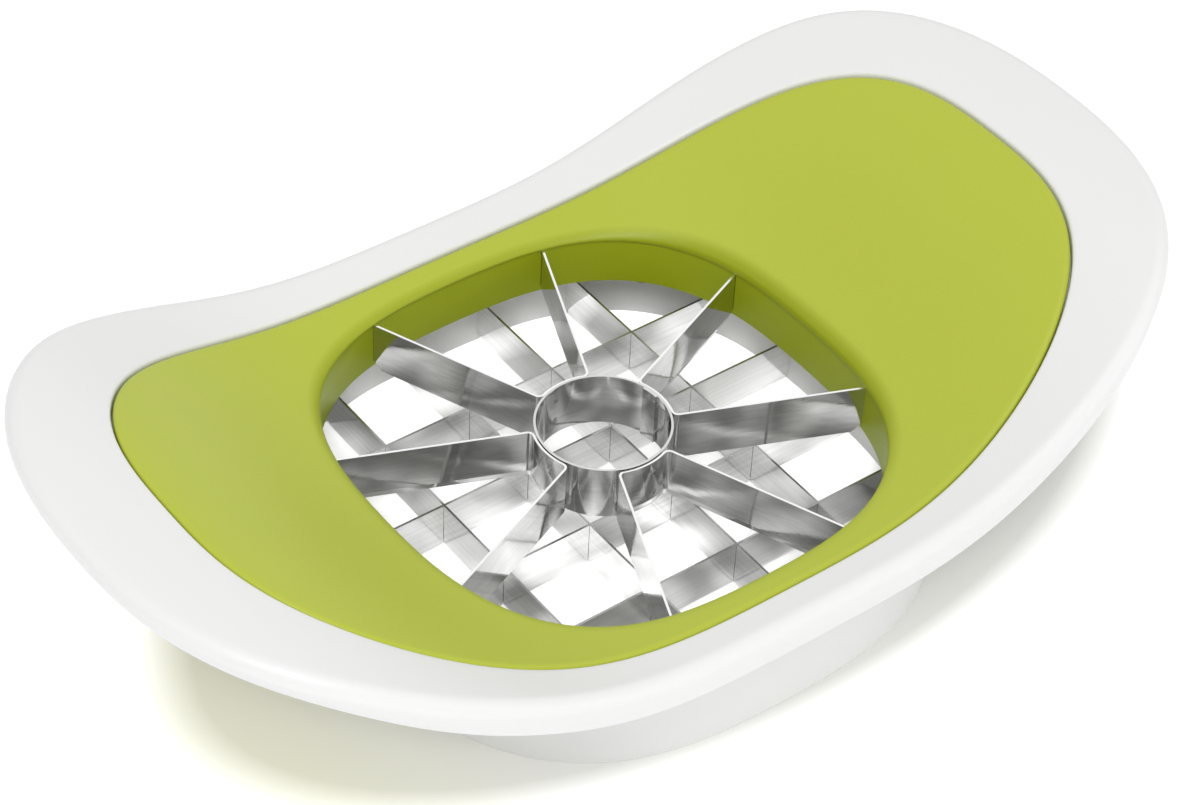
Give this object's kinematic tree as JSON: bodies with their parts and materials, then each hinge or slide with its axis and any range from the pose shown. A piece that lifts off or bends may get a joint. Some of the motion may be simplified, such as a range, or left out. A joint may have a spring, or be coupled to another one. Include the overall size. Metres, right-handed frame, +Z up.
{
  "type": "apple slicer press",
  "caption": "Saddle-shaped white plastic apple press with a steel cutting grid and a lift-out green wedger with radial blades around a core ring.",
  "frame": {"origin": "middle of the base's footprint, on the surface that the press stands on", "axes": "+X along the press towards one raised end, +Z up"},
  "size_m": [0.194, 0.1108, 0.0491],
  "materials": {
    "white_plastic": "smooth, softly glossy",
    "green_plastic": "fine matte texture, apple green",
    "steel": "bright rolled stainless sheet"
  },
  "bodies": {
    "frame": {"frame_shell": "white_plastic", "grid_blade_x1": "steel", "grid_blade_x2": "steel", "grid_blade_x3": "steel", "grid_blade_x4": "steel", "grid_blade_y1": "steel", "grid_blade_y2": "steel", "grid_blade_y3": "steel", "grid_blade_y4": "steel"},
    "wedger": {"wedger_cover": "green_plastic", "blade_collar": "green_plastic", "core_ring": "steel", "wedge_strip_right": "steel", "wedge_strip_back": "steel", "wedge_strip_left": "steel", "wedge_strip_front": "steel", "wedger_screws": "steel"}
  },
  "joints": [
    {"name": "wedger_lift", "type": "slide", "parent": "frame", "child": "wedger", "axis": [0, 0, 1], "range_m": [0, 0.045]}
  ]
}
